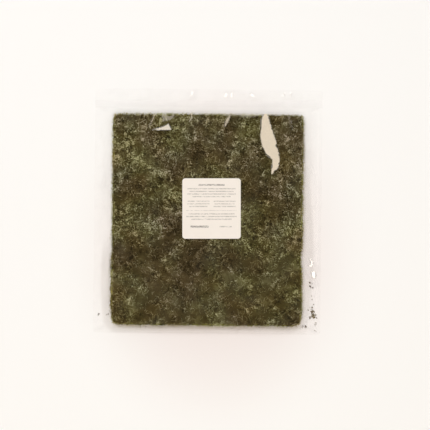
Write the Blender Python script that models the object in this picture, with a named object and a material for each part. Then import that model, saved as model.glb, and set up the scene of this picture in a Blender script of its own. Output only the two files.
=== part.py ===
"""A clear press-to-close film bag lying flat round a stack of nori sheets, with a paper label on its front.

The bag lies face up on z = 0, with its press-to-close strip towards +Y and the middle of its outline over
the origin. Its solid is the bag with what it holds: thin film margins, the film that drapes from the stack
down to the table, and the flat top over the sheets. Sizes are in metres.
"""
import math

import bmesh
import bpy

MM = 0.001

# The bag, laid flat
BAG_WIDTH = 227 * MM
BAG_LENGTH = 244 * MM
BAG_CORNER_RADIUS = 3 * MM
MARGIN_THICKNESS = 0.9 * MM  # two films with a little air between them
SIDE_SEAL_WIDTH = 3.5 * MM
SIDE_SEAL_THICKNESS = 0.6 * MM

# The stack of sheets inside
STACK_WIDTH = 190 * MM
STACK_LENGTH = 210 * MM
STACK_CORNER_RADIUS = 6 * MM
STACK_CENTRE = (-0.2 * MM, -8 * MM)
STACK_TOP = 6.2 * MM  # top of the film that lies on the top sheet
STACK_SAG = 0.5 * MM  # how far the sheets' edges droop below the middle
STACK_SHOULDER = 5 * MM

# How the film drapes from the stack's top edge to the table
DRAPE_REACH = 9.3 * MM
DRAPE_SWING = 2.9 * MM
DRAPE_WAVE = 190 * MM
DRAPE_WIDEST_RIGHT = -37 * MM  # where along the right-hand side the film touches down furthest out
DRAPE_WIDEST_LEFT = -66 * MM
DRAPE_POWER = 1.6

# The press-to-close strip: a flat band with two ribs, a little askew
ZIP_CENTRE_Y = 107.6 * MM
ZIP_WIDTH = 7 * MM
ZIP_THICKNESS = 1.2 * MM
ZIP_RIB_HEIGHT = 0.8 * MM
ZIP_RIB_OFFSET = 1.5 * MM
ZIP_RIB_HALF_WIDTH = 0.75 * MM
ZIP_SKEW = math.radians(0.5)

# The open lips above the strip
LIP_RIPPLE = 0.9 * MM
LIP_WAVES = ((41 * MM, 0.5), (27 * MM, 1.9))  # length and phase

# Slow waves of the sheets under the film: length, the directions' x and y shares, and phase
SHEET_WAVE_HEIGHT = 0.18 * MM
SHEET_WAVES = ((88 * MM, 1.0, 0.4, 0.6), (61 * MM, -0.3, 1.0, 2.0))

# Air pockets in the film, in millimetres: the chord's start and end, then how far the outline bows out to
# the left and to the right of it. The film climbs from the left outline to a ridge along the right one.
POCKET_SLOPE = 0.19
POCKET_BACK_SLOPE = 0.8
POCKETS = (
    ((66, 46), (54, 98), 8.8, 4.8),  # the long pocket in the upper right
    ((63.5, 38), (67.5, 68), 1.0, 4.4),  # the tongue at its lower end
    ((-60, 79.5), (-36, 79.5), 7.5, 0.4),  # the pocket in the upper left
    ((-60.5, 80), (-52, 99), 2.2, 1.4),  # the pleat that feeds it
    ((-22, 86), (-16, 99), 2.8, 1.0),
    ((15.5, 82), (23.5, 99), 3.4, 1.2),
    ((90, 84), (86, 99), 2.0, 1.0),
)

# Soft ridges in the film, in millimetres: start, end, half width and height
RIDGES = (
    # where the film comes off the top edge of the stack
    ((-35, 106), (-39, 96), 3.5, 1.1),
    ((8, 105), (-6, 99), 3.5, 1.0),
    ((60, 103), (56, 97), 3.0, 0.9),
    # creases down the right-hand side
    ((94, -44), (110, -57), 4.0, 1.5),
    ((94, -52), (109, -72), 4.0, 1.3),
    ((96, 62), (104, 40), 4.5, 0.8),
    # creases down the left-hand side and along the bottom
    ((-97, 52), (-105, 24), 4.5, 0.8),
    ((-97, -46), (-101, -92), 5.0, 1.2),
    ((-52, -113), (-20, -117), 4.0, 0.6),
    ((34, -113), (70, -117), 4.0, 0.6),
    # the tucks that run from the stack's corners to the bag's
    ((-92, 93), (-106, 103), 3.5, 0.8),
    ((92, 93), (106, 103), 3.5, 0.8),
    ((-93, -110), (-108, -118), 3.5, 0.7),
    ((93, -110), (108, -118), 3.5, 0.7),
)

# The label, stuck on the film over the stack
LABEL_WIDTH = 58 * MM
LABEL_LENGTH = 60 * MM
LABEL_CORNER_RADIUS = 3 * MM
LABEL_CORNER_SEGMENTS = 6
LABEL_THICKNESS = 0.2 * MM
LABEL_CENTRE = (3.7 * MM, 3.0 * MM)
LABEL_TURN = math.radians(0.6)
LABEL_GAP = 0.3 * MM
LABEL_BED_MARGIN = 2 * MM  # the film stays flat this far round the label
LABEL_BED_EASE = 7 * MM

# Colours as linear red, green and blue, and roughness
FILM_COLOUR, FILM_ROUGHNESS = (0.88, 0.85, 0.81), 0.2
NORI_COLOUR, NORI_ROUGHNESS = (0.085, 0.07, 0.03), 0.45
PAPER_COLOUR, PAPER_ROUGHNESS = (0.93, 0.86, 0.76), 0.7
SHARP_ANGLE = math.radians(35)

# Spacing of the grid that the film is shaped on
HAIR = 0.1 * MM  # keeps a grid line that lies on an edge on the right side of it
FINE = 1.0 * MM
MARGIN_STEP = 2.1 * MM
FOLD_STEP = 2.6 * MM
OPEN_STEP = 6.2 * MM


def smooth(value):
    """Eases a value from 0 to 1, and holds it there outside that range."""
    value = min(max(value, 0.0), 1.0)
    return value * value * (3 - 2 * value)


def outside_rounded_box(x, y, width, length, radius):
    """Distance outside a rounded rectangle centred on the origin, negative inside it."""
    from_side = abs(x) - (width / 2 - radius)
    from_end = abs(y) - (length / 2 - radius)
    past_corner = math.hypot(max(from_side, 0.0), max(from_end, 0.0))
    return past_corner + min(max(from_side, from_end), 0.0) - radius


def outside_stack(x, y):
    """Distance outside the stack's outline, negative over the stack."""
    centre_x, centre_y = STACK_CENTRE
    return outside_rounded_box(x - centre_x, y - centre_y, STACK_WIDTH, STACK_LENGTH, STACK_CORNER_RADIUS)


def drape_reach(x, y):
    """How far out from the stack the film touches the table: it varies along the sides."""
    widest = DRAPE_WIDEST_RIGHT if x > 0 else DRAPE_WIDEST_LEFT
    on_side = min(abs(x) / (STACK_WIDTH / 2), 1.0)
    return DRAPE_REACH + DRAPE_SWING * on_side * math.cos(2 * math.pi * (y - widest) / DRAPE_WAVE)


def zip_shift(x, y):
    """How far the skewed strip moves the film up or down at this place."""
    below = STACK_CENTRE[1] + STACK_LENGTH / 2
    above = BAG_LENGTH / 2
    low = ZIP_CENTRE_Y - ZIP_WIDTH / 2
    high = ZIP_CENTRE_Y + ZIP_WIDTH / 2
    share = min((y - below) / (low - below), 1.0, (above - y) / (above - high))
    return x * math.tan(ZIP_SKEW) * max(share, 0.0)


def zip_height(y):
    """Height of the strip's band and its two ribs, at a y measured before the skew."""
    if abs(y - ZIP_CENTRE_Y) > ZIP_WIDTH / 2 + HAIR:
        return 0.0
    rib = 0.0
    for side in (-1, 1):
        across = abs(y - ZIP_CENTRE_Y - side * ZIP_RIB_OFFSET) / ZIP_RIB_HALF_WIDTH
        rib = max(rib, 1 - across)
    return ZIP_THICKNESS + ZIP_RIB_HEIGHT * smooth(rib)


def lip_height(x, y):
    """Ripples of the open lips, which grow from the strip to the bag's top edge."""
    start = ZIP_CENTRE_Y + ZIP_WIDTH / 2
    rise = smooth((y - start) / (BAG_LENGTH / 2 - start))
    ripple = sum(math.sin(2 * math.pi * x / wave + phase) for wave, phase in LIP_WAVES)
    return MARGIN_THICKNESS + LIP_RIPPLE * rise * max(ripple, 0.0) / len(LIP_WAVES)


def along_and_left(x, y, start, end):
    """A place as millimetres along the line from start to end and to its left, with the line's length."""
    run = (end[0] - start[0], end[1] - start[1])
    length = math.hypot(*run)
    from_start = (x / MM - start[0], y / MM - start[1])
    along = (from_start[0] * run[0] + from_start[1] * run[1]) / length
    left = (from_start[1] * run[0] - from_start[0] * run[1]) / length
    return along, left, length


def pocket_height(x, y, start, end, bow_left, bow_right):
    """Height of one air pocket: a straight climb to a ridge, and a steep drop behind it."""
    along, left, length = along_and_left(x, y, start, end)
    share = along / length
    bow = 4 * share * (1 - share)
    if bow <= 0:
        return 0.0
    climbed = bow_left * bow - left
    top = (bow_left + bow_right) * bow
    height = min(climbed * POCKET_SLOPE, top * POCKET_SLOPE - (climbed - top) * POCKET_BACK_SLOPE)
    return max(height, 0.0) * MM


def ridge_height(x, y, start, end, half_width, height):
    """Height of one soft ridge along a line, which runs out at both ends."""
    along, left, length = along_and_left(x, y, start, end)
    past_end = max(-along, along - length, 0.0)
    return height * MM * smooth(1 - math.hypot(left, past_end) / half_width)


def sheet_waves(x, y):
    """Slow waves of the sheets, which the label's bed levels out."""
    wave = sum(
        math.sin(2 * math.pi * (x_share * x + y_share * y) / length + phase)
        for length, x_share, y_share, phase in SHEET_WAVES
    )
    from_label = outside_rounded_box(
        x - LABEL_CENTRE[0], y - LABEL_CENTRE[1], LABEL_WIDTH, LABEL_LENGTH, LABEL_CORNER_RADIUS
    )
    return SHEET_WAVE_HEIGHT * wave * smooth((from_label - LABEL_BED_MARGIN) / LABEL_BED_EASE)


def film_height(x, y):
    """Height of the bag's upper film above the table."""
    outside = outside_stack(x, y)
    droop = STACK_SAG * smooth((outside + STACK_SHOULDER) / STACK_SHOULDER)
    over_stack = STACK_TOP - droop + sheet_waves(x, y) * smooth(-outside / STACK_SHOULDER)
    kept = max(1 - max(outside, 0.0) / drape_reach(x, y), 0.0) ** DRAPE_POWER
    in_seal = BAG_WIDTH / 2 - abs(x) < SIDE_SEAL_WIDTH - HAIR
    margin = SIDE_SEAL_THICKNESS if in_seal else MARGIN_THICKNESS
    height = margin + (over_stack - margin) * kept
    if y > ZIP_CENTRE_Y + ZIP_WIDTH / 2:
        height = max(height, lip_height(x, y))
    height = max(height, zip_height(y))
    if not in_seal:
        height += max(pocket_height(x, y, *pocket) for pocket in POCKETS)
        height += max(ridge_height(x, y, *ridge) for ridge in RIDGES)
    return height


def stretch(start, end, step):
    """Grid lines from start up to, but not at, end."""
    count = max(1, round((end - start) / step))
    return [start + (end - start) * i / count for i in range(count)]


def grid_lines(stops):
    """Grid lines through a row of stops, each with the spacing that follows it; the last ends the row."""
    lines = []
    for (start, step), (end, _) in zip(stops, stops[1:]):
        lines += stretch(start, end, step)
    return lines + [stops[-1][0]]


def side_to_side_lines():
    """Grid lines across the bag: close at the seals, the drape and the pockets, open over the sheets."""
    edge = BAG_WIDTH / 2
    stack = STACK_WIDTH / 2
    return grid_lines((
        (-edge, MARGIN_STEP),
        (-edge + SIDE_SEAL_WIDTH, MARGIN_STEP),
        (-stack, MARGIN_STEP),
        (-stack + STACK_SHOULDER, OPEN_STEP),
        (-62 * MM, FOLD_STEP),
        (-34 * MM, OPEN_STEP),
        (49 * MM, FOLD_STEP),
        (74 * MM, OPEN_STEP),
        (stack - STACK_SHOULDER, MARGIN_STEP),
        (stack, MARGIN_STEP),
        (edge - SIDE_SEAL_WIDTH, MARGIN_STEP),
        (edge, None),
    ))


def bottom_to_top_lines():
    """Grid lines along the bag: close at the drapes, the pockets and the strip."""
    edge = BAG_LENGTH / 2
    stack_low = STACK_CENTRE[1] - STACK_LENGTH / 2
    stack_high = STACK_CENTRE[1] + STACK_LENGTH / 2
    return grid_lines((
        (-edge, MARGIN_STEP),
        (stack_low, MARGIN_STEP),
        (stack_low + STACK_SHOULDER, OPEN_STEP),
        (-75 * MM, FOLD_STEP),
        (-42 * MM, OPEN_STEP),
        (36 * MM, FOLD_STEP),
        (stack_high - STACK_SHOULDER, MARGIN_STEP),
        (stack_high, MARGIN_STEP),
        (ZIP_CENTRE_Y - ZIP_WIDTH / 2, FINE),
        (ZIP_CENTRE_Y + ZIP_WIDTH / 2, MARGIN_STEP),
        (edge, None),
    ))


def round_corner(x, y):
    """Pulls the points of each square corner in onto a round one."""
    centre_x = math.copysign(BAG_WIDTH / 2 - BAG_CORNER_RADIUS, x)
    centre_y = math.copysign(BAG_LENGTH / 2 - BAG_CORNER_RADIUS, y)
    out_x, out_y = x - centre_x, y - centre_y
    if out_x * x <= 0 or out_y * y <= 0:
        return x, y
    scale = max(abs(out_x), abs(out_y)) / math.hypot(out_x, out_y)
    return centre_x + out_x * scale, centre_y + out_y * scale


def material(name, colour, roughness):
    """A plain Principled material."""
    made = bpy.data.materials.new(name)
    made.use_nodes = True
    shader = made.node_tree.nodes["Principled BSDF"]
    shader.inputs["Base Color"].default_value = (*colour, 1.0)
    shader.inputs["Roughness"].default_value = roughness
    shader.inputs["Metallic"].default_value = 0.0
    return made


def add_object(name, bm, collection, *materials):
    """Turns a finished bmesh into a named object with its materials."""
    mesh = bpy.data.meshes.new(name)
    bm.to_mesh(mesh)
    bm.free()
    for each in materials:
        mesh.materials.append(each)
    made = bpy.data.objects.new(name, mesh)
    collection.objects.link(made)
    return made


def make_bag(collection):
    """The bag with its stack: a shaped top on a flat underside."""
    columns, rows = side_to_side_lines(), bottom_to_top_lines()
    bm = bmesh.new()
    across, along = len(columns) - 1, len(rows) - 1
    bmesh.ops.create_grid(bm, x_segments=across, y_segments=along, size=1.0)
    for vert in bm.verts:
        x = columns[round((vert.co.x + 1) / 2 * across)]
        y = rows[round((vert.co.y + 1) / 2 * along)]
        height = film_height(x, y)
        x, y = round_corner(x, y + zip_shift(x, y))
        vert.co = (x, y, height)
    for face in bm.faces:
        middle = face.calc_center_median()
        face.material_index = 1 if outside_stack(middle.x, middle.y) < 0 else 0
    rim = [edge for edge in bm.edges if edge.is_boundary]
    walls = bmesh.ops.extrude_edge_only(bm, edges=rim)["geom"]
    for vert in walls:
        if isinstance(vert, bmesh.types.BMVert):
            vert.co.z = 0.0
    base_rim = [edge for edge in bm.edges if edge.is_boundary]
    base = bmesh.ops.edgeloop_fill(bm, edges=base_rim)["faces"]
    bmesh.ops.triangulate(bm, faces=base, quad_method="BEAUTY", ngon_method="BEAUTY")
    bmesh.ops.recalc_face_normals(bm, faces=bm.faces)
    film = material("clear_film", FILM_COLOUR, FILM_ROUGHNESS)
    nori = material("nori_under_film", NORI_COLOUR, NORI_ROUGHNESS)
    bag = add_object("bag", bm, collection, film, nori)
    bag.data.shade_smooth()
    bag.data.set_sharp_from_angle(angle=SHARP_ANGLE)


def make_label(collection):
    """The label: a thin plate with round corners, just above its flat bed on the film."""
    bm = bmesh.new()
    bmesh.ops.create_cube(bm, size=1.0)
    bmesh.ops.scale(bm, vec=(LABEL_WIDTH, LABEL_LENGTH, LABEL_THICKNESS), verts=bm.verts)
    corners = [edge for edge in bm.edges if edge.verts[0].co.xy == edge.verts[1].co.xy]
    bmesh.ops.bevel(
        bm,
        geom=corners,
        offset=LABEL_CORNER_RADIUS,
        segments=LABEL_CORNER_SEGMENTS,
        profile=0.5,
        affect="EDGES",
    )
    paper = material("cream_label_paper", PAPER_COLOUR, PAPER_ROUGHNESS)
    label = add_object("label", bm, collection, paper)
    label.location = (*LABEL_CENTRE, STACK_TOP + LABEL_GAP + LABEL_THICKNESS / 2)
    label.rotation_euler.z = LABEL_TURN


def main():
    for old in list(bpy.data.objects):
        bpy.data.objects.remove(old, do_unlink=True)
    collection = bpy.data.collections.new("pack_of_nori_sheets")
    bpy.context.scene.collection.children.link(collection)
    make_bag(collection)
    make_label(collection)


main()
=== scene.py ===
"""The looks of a pack of nori sheets: a thin clear bag with its press-to-close strip, ten felted sheets of
dried laver with their loose strands and crumbs, and a paper label on the front.

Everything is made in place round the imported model, in metres, with +Y towards the strip. A shape that
follows a rule is worked out on whole arrays of points at once.
"""
import math

import bpy
import numpy as np
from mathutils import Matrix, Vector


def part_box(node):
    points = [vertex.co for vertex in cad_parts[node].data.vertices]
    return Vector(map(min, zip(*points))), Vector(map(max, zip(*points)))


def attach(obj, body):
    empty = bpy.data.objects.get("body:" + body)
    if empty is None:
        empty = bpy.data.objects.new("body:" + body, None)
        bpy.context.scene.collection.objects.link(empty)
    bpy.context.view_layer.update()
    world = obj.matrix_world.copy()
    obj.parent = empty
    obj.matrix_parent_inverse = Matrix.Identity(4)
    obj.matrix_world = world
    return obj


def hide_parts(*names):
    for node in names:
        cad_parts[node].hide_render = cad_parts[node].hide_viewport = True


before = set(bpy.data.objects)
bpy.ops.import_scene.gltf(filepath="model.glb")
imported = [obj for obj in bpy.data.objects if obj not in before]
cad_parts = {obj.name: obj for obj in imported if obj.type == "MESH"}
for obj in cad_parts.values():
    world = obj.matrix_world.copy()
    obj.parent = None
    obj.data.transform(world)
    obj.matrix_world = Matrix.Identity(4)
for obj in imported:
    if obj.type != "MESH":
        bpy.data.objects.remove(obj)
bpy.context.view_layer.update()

MM = 0.001

# The bag, from the frame
BAG_LOW, BAG_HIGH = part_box("bag")
BAG_WIDTH = BAG_HIGH.x - BAG_LOW.x
BAG_LENGTH = BAG_HIGH.y - BAG_LOW.y
BAG_CORNER_RADIUS = 3 * MM
MARGIN_HEIGHT = 0.65 * MM
SEAL_WIDTH = 3.5 * MM
SEAL_HEIGHT = 0.34 * MM
SEAL_EASE = 1.2 * MM  # how far in from a side seal the front film lifts in full
SEAL_CRIMP = 0.06 * MM
SEAL_CRIMP_WAVE = 6.5 * MM
BOTTOM_EASE = 2.5 * MM
FILM_THICKNESS = 0.07 * MM
BACK_FILM_HEIGHT = 0.16 * MM
BACK_SWELL = 0.04 * MM
BACK_SWELL_WAVES = (73 * MM, 58 * MM)  # across the bag and along it

# The stack inside
STACK_WIDTH = 190 * MM
STACK_LENGTH = 210 * MM
STACK_CORNER_RADIUS = 6 * MM
STACK_CENTRE = (-0.2 * MM, -8 * MM)
STACK_TOP = 6.2 * MM
STACK_SAG = 0.05 * MM
STACK_SHOULDER = 5 * MM

# How the film drapes from the stack down to the table
DRAPE_START = 2.0 * MM  # how far out from the stack the film stays level
DRAPE_REACH = 8.0 * MM
DRAPE_SWING = 2.9 * MM
DRAPE_WAVE = 190 * MM
DRAPE_WIDEST_RIGHT = -37 * MM
DRAPE_WIDEST_LEFT = -66 * MM
DRAPE_POWER = 1.35
DRAPE_BEND = 0.06  # how softly the film bends over the stack's edge, as a share of its reach

# The press-to-close strip, a little askew
ZIP_CENTRE_Y = 107.6 * MM
ZIP_WIDTH = 7 * MM
ZIP_THICKNESS = 1.2 * MM
ZIP_RIB_HEIGHT = 0.5 * MM
ZIP_RIB_OFFSET = 1.5 * MM
ZIP_RIB_HALF_WIDTH = 0.75 * MM
ZIP_SKEW = math.radians(0.5)
ZIP_WALL = 0.3 * MM
ZIP_INSET = 0.3 * MM  # the strip stops this far short of the bag's sides
ZIP_FROM_FILM = 0.12 * MM
ZIP_BACK_RIBS = 0.3  # how high the back half's ribs stand, as a share of the front half's
ZIP_LOW = ZIP_CENTRE_Y - ZIP_WIDTH / 2
ZIP_HIGH = ZIP_CENTRE_Y + ZIP_WIDTH / 2

# The open lips above the strip
LIP_RIPPLE = 0.9 * MM
LIP_WAVES = ((41 * MM, 0.5), (27 * MM, 1.9))  # length and phase

# Slow waves of the sheets under the film: length, shares of x and y, and phase
SHEET_WAVE_HEIGHT = 0.1 * MM
SHEET_WAVES = ((88 * MM, 1.0, 0.4, 0.6), (61 * MM, -0.3, 1.0, 2.0))

# Air pockets in the film, in millimetres: the height of the foot, the way that it climbs in degrees, its
# slope, how brightly the taut film over it shines, and the outline's corners. Each is one flat facet with
# steep walls.
POCKET_WALL_SLOPE = 3.5
SHINE_EASE = 1.0  # how far in from its walls a facet shines in full, mm
POCKETS = (
    # the long one near the right, from the stack's top edge down
    (6.3, 12, 0.277, 1.0, ((53.5, 98.5), (50.9, 91.4), (50.9, 73.5), (53.0, 65.0), (56.0, 57.5), (62.4, 51.5),
                           (61.6, 37.4), (63.8, 36.6), (70.8, 43.5), (72.2, 50.0), (71.9, 58.0), (69.9, 64.8),
                           (68.6, 65.2), (69.2, 68.5), (65.4, 79.0), (61.6, 91.6), (59.8, 98.5))),
    # the slack film near the left, the low crescent below it and the pleat beside it
    (6.3, -90, 0.245, 0.3, ((-47.5, 97.5), (-31.5, 97.5), (-36.5, 89.5), (-41.0, 88.2), (-47.0, 87.2))),
    (6.3, -90, 0.25, 1.0, ((-62.0, 78.4), (-53.3, 82.6), (-45.8, 84.6), (-39.6, 88.0), (-37.2, 84.0),
                           (-35.2, 79.4), (-45.0, 79.2))),
    (6.3, 12, 0.162, 0.4, ((-61.8, 81.6), (-59.6, 81.6), (-54.4, 88.5), (-51.2, 97.5),
                            (-55.4, 97.5), (-58.4, 88.5))),
    # short pleats along the top edge
    (6.3, 12, 0.2, 0.5, ((-19.6, 98.5), (-15.0, 98.5), (-15.6, 93.0), (-18.0, 87.8),
                         (-20.8, 89.0), (-18.8, 93.5))),
    (6.3, 12, 0.236, 0.6, ((14.2, 82.6), (16.4, 83.2), (20.8, 88.5), (24.4, 98.5),
                           (20.2, 98.5), (15.4, 90.0))),
    (6.3, -90, 0.245, 0.25, ((26.0, 98.5), (50.0, 98.5), (47.0, 94.0), (38.0, 92.4), (30.0, 94.5))),
    (6.3, 12, 0.296, 0.22, ((82.4, 80.5), (84.2, 80.5), (82.6, 90.5), (80.4, 98.5),
                            (76.8, 98.5), (79.4, 90.0))),
    # puffs in the right margin
    (3.4, 180, 0.16, 0.3, ((97.0, -44.0), (104.0, -45.0), (107.5, -50.0), (105.0, -55.0), (98.0, -54.0))),
    (1.7, 180, 0.16, 0.3, ((102.5, -57.0), (108.0, -57.5), (110.5, -62.0), (108.5, -67.5), (103.0, -65.0))),
    # slanted strokes in the open lips
    (2.2, 180, 0.27, 0.3, ((-21.5, 113.0), (-17.5, 113.0), (-13.6, 119.6), (-17.6, 120.4))),
    (1.3, 180, 0.24, 0.3, ((13.4, 113.6), (17.6, 112.8), (19.6, 118.6), (15.4, 120.2))),
    (1.3, 180, 0.24, 0.3, ((19.8, 113.0), (23.6, 113.4), (24.6, 119.4), (21.4, 119.8))),
    (2.2, 180, 0.216, 0.3, ((37.6, 118.8), (42.4, 113.2), (47.6, 112.8), (43.0, 120.2))),
    (2.2, 180, 0.187, 0.3, ((70.6, 113.4), (75.2, 113.8), (78.0, 119.8), (73.4, 120.4))),
    (2.2, 180, 0.18, 0.3, ((78.4, 113.6), (82.4, 113.8), (84.4, 120.0), (80.4, 120.4))),
)

# Soft ridges in the film, in millimetres: start, end, half width and height
RIDGES = (
    ((-35, 106), (-39, 96), 3.5, 1.1),
    ((8, 105), (-6, 99), 3.5, 1.0),
    ((60, 103), (56, 97), 3.0, 0.9),
    ((94, -44), (110, -57), 4.0, 1.5),
    ((94, -52), (109, -72), 4.0, 1.3),
    ((96, 62), (104, 40), 4.5, 0.8),
    ((-97, 52), (-105, 24), 4.5, 0.8),
    ((-97, -46), (-101, -92), 5.0, 1.2),
    ((-52, -113), (-20, -117), 4.0, 0.6),
    ((34, -113), (70, -117), 4.0, 0.6),
    ((-92, 93), (-106, 103), 3.5, 0.8),
    ((92, 93), (106, 103), 3.5, 0.8),
    ((-93, -110), (-108, -118), 3.5, 0.7),
    ((93, -110), (108, -118), 3.5, 0.7),
)

# Fine wrinkles of the film's margins, spread by a seeded draw: a box in millimetres, the way that they run in
# degrees, and how many
WRINKLE_SEED = 11
WRINKLE_FIELDS = (
    ((97, -110), (109, 100), 84, 26),
    ((-109, -110), (-97, 100), 95, 22),
    ((-90, -120), (95, -115), 3, 16),
    ((-95, 98), (95, 104), 35, 20),
    ((-105, 112), (105, 121), 70, 26),
)
WRINKLE_STRAY = 16  # how far their headings spread, in degrees
WRINKLE_LENGTH = (6, 22)
WRINKLE_HALF_WIDTH = (0.9, 2.0)
WRINKLE_HEIGHT = (0.08, 0.38)
WRINKLE_SHINE = 0.05
WRINKLE_FULL = 0.35 * MM  # a fold this high shines in full

# Painted shade on the film where it runs down the stack's sides: there its haze is thicker and turns a darker
# brown, standing in for the stack's shadow and the warm light bounced off the stack. How far from the stack
# that starts and ends, and for each side how strong it is and the level above which it fades away
SIDE_SHADE_START = 1.5 * MM
SIDE_SHADE_EASE = 4 * MM
SIDE_SHADE_FADE = 35 * MM
SIDE_SHADE_RIGHT = (0.85, 66 * MM)
SIDE_SHADE_LEFT = (1.0, -18 * MM)

# The label
LABEL_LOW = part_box("label")[0]
LABEL_WIDTH = 58 * MM
LABEL_LENGTH = 60 * MM
LABEL_CORNER_RADIUS = 3 * MM
LABEL_CENTRE = (3.7 * MM, 3.0 * MM)
LABEL_TURN = math.radians(0.6)
LABEL_THICKNESS = 0.14 * MM
LABEL_COCKLE = 0.012 * MM
LABEL_COCKLE_WAVE = 24 * MM
LABEL_SEED = 61
LABEL_BED_MARGIN = 2 * MM
LABEL_BED_EASE = 7 * MM
LABEL_BED_RISE = LABEL_LOW.z - STACK_TOP - 0.03 * MM  # the film swells up to the label's underside

# The sheets
SHEET_COUNT = 10
SHEET_THICKNESS = 0.2 * MM
LOWEST_SHEET = 0.42 * MM
FILM_CLEARANCE = 0.42 * MM  # from the top of the film down to the top sheet's middle
SHEET_SEED = 5
SHEET_SHIFT = 0.7 * MM
SHEET_TURN = math.radians(0.22)
SHEET_CORNERS = {(-1, 1): 7 * MM, (1, 1): 8 * MM, (1, -1): 11.5 * MM, (-1, -1): 9.5 * MM}
SHEET_OUTLINE_POINTS = 840
RAG_HEIGHT = 0.65 * MM  # how ragged a torn edge is
RAG_DEPTH = 3 * MM
RAG_WAVES = ((2.6 * MM, 9, 0.6), (17 * MM, 5, 0.5))  # length, how many and share
RAG_SPREAD = 0.5  # how far the lengths vary
RAG_SEED = 100
# How far the felt has frayed back at each edge; loose strands fill the gap
EDGE_WEAR = {"right": 1.65 * MM, "left": 1.45 * MM, "top": 1.75 * MM, "bottom": 0.75 * MM}
FRINGE_REACH = 0.1 * MM  # the sheets below reach this much further left than the top one
STRAY_SHEETS = (4, 6)  # these slid out to the left near the bottom
STRAY_REACH = 1.8 * MM
STRAY_MIDDLE = -70 * MM
STRAY_HALF_LENGTH = 40 * MM
STRAY_PLATEAU = 1.6  # over 1, so that the middle of their run is even
DENT_MIDDLE = -46 * MM  # the right-hand edge is worn in here
DENT_HALF_LENGTH = 17 * MM
DENT_DEPTH = 1.6 * MM
SHEET_CURL = 0.1 * MM
SHEET_CURL_LIMIT = 0.14 * MM
SHEET_CURL_WAVE = 60 * MM
SHEET_CURL_SEED = 300
# The felt's clumps and thin places: length, seed, how many waves and height
FELT_RELIEF = ((3.1 * MM, 41, 26, 0.055 * MM), (9 * MM, 42, 16, 0.04 * MM))

SHARP_ANGLE = math.radians(35)  # a steeper corner between two faces stays sharp

# Grid spacings
POCKET_STEP = 0.75 * MM
SIDE_STEP = 0.9 * MM
LIP_STEP = 1.1 * MM
MARGIN_STEP = 1.5 * MM
OPEN_STEP = 2.2 * MM
ZIP_STEP = 0.5 * MM
FELT_STEP = 0.97 * MM
BACK_STEP = 2.4 * MM
STRIP_STEP = 4 * MM  # along the strip's halves, which are straight


# ------------------------------------------------------------------------------------------ shapes as rules

def smooth(value):
    """Eases values from 0 to 1, and holds them there outside that range."""
    value = np.clip(value, 0.0, 1.0)
    return value * value * (3 - 2 * value)


def turned(x, y, angle):
    """Places turned about the origin."""
    return x * np.cos(angle) - y * np.sin(angle), x * np.sin(angle) + y * np.cos(angle)


def outside_box(x, y, centre, width, length, radius):
    """Distance outside a rounded rectangle, negative inside it."""
    from_side = np.abs(x - centre[0]) - (width / 2 - radius)
    from_end = np.abs(y - centre[1]) - (length / 2 - radius)
    past_corner = np.hypot(np.maximum(from_side, 0), np.maximum(from_end, 0))
    return past_corner + np.minimum(np.maximum(from_side, from_end), 0) - radius


def outside_stack(x, y):
    return outside_box(x, y, STACK_CENTRE, STACK_WIDTH, STACK_LENGTH, STACK_CORNER_RADIUS)


def outside_label(x, y):
    return outside_box(x, y, LABEL_CENTRE, LABEL_WIDTH, LABEL_LENGTH, LABEL_CORNER_RADIUS)


def drape_reach(x, y):
    """How far out from its last level place the film touches the table."""
    widest = np.where(x > 0, DRAPE_WIDEST_RIGHT, DRAPE_WIDEST_LEFT)
    on_side = np.minimum(np.abs(x) / (STACK_WIDTH / 2), 1.0)
    return DRAPE_REACH + DRAPE_SWING * on_side * np.cos(2 * math.pi * (y - widest) / DRAPE_WAVE)


def zip_shift(x, y):
    """How far the skewed strip moves the film up or down at this place."""
    below = STACK_CENTRE[1] + STACK_LENGTH / 2
    above = BAG_LENGTH / 2
    share = np.minimum(np.minimum((y - below) / (ZIP_LOW - below), 1.0), (above - y) / (above - ZIP_HIGH))
    return x * math.tan(ZIP_SKEW) * np.maximum(share, 0.0)


def zip_ribs(y):
    """How high the strip's two ribs stand at a y measured before the skew."""
    rib = np.zeros_like(y)
    for side in (-1, 1):
        across = np.abs(y - ZIP_CENTRE_Y - side * ZIP_RIB_OFFSET) / ZIP_RIB_HALF_WIDTH
        rib = np.maximum(rib, 1 - across)
    return ZIP_RIB_HEIGHT * smooth(rib)


def inside_outline(x, y, corners):
    """How far inside a closed outline each place lies, in millimetres, and 0 outside it."""
    nearest = np.full(x.shape, np.inf)
    inside = np.zeros(x.shape, bool)
    for (x_1, y_1), (x_2, y_2) in zip(corners, corners[1:] + corners[:1]):
        run_x, run_y = x_2 - x_1, y_2 - y_1
        share = np.clip(((x - x_1) * run_x + (y - y_1) * run_y) / (run_x ** 2 + run_y ** 2), 0.0, 1.0)
        nearest = np.minimum(nearest, np.hypot(x - x_1 - share * run_x, y - y_1 - share * run_y))
        crossed = (y_1 > y) != (y_2 > y)
        inside ^= crossed & ((x - x_1) * run_y * np.sign(run_y) < (y - y_1) * run_x * np.sign(run_y))
    return np.where(inside, nearest, 0.0)


def blow_pockets(x, y, height):
    """The film's height with its air pockets, and how brightly each place shines: only their facets do."""
    shine = np.zeros_like(height)
    for foot, heading, slope, facet_shine, corners in POCKETS:
        way_x, way_y = math.cos(math.radians(heading)), math.sin(math.radians(heading))
        start = min(way_x * corner_x + way_y * corner_y for corner_x, corner_y in corners)
        climbed = way_x * x / MM + way_y * y / MM - start
        facet = (foot + climbed * slope) * MM
        wall = height + inside_outline(x / MM, y / MM, corners) * POCKET_WALL_SLOPE * MM
        eased = facet_shine * smooth((wall - facet) / (POCKET_WALL_SLOPE * SHINE_EASE * MM))
        shine = np.where((facet > height) & (facet < wall), eased, shine)
        height = np.maximum(height, np.minimum(facet, wall))
    return height, shine


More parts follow.
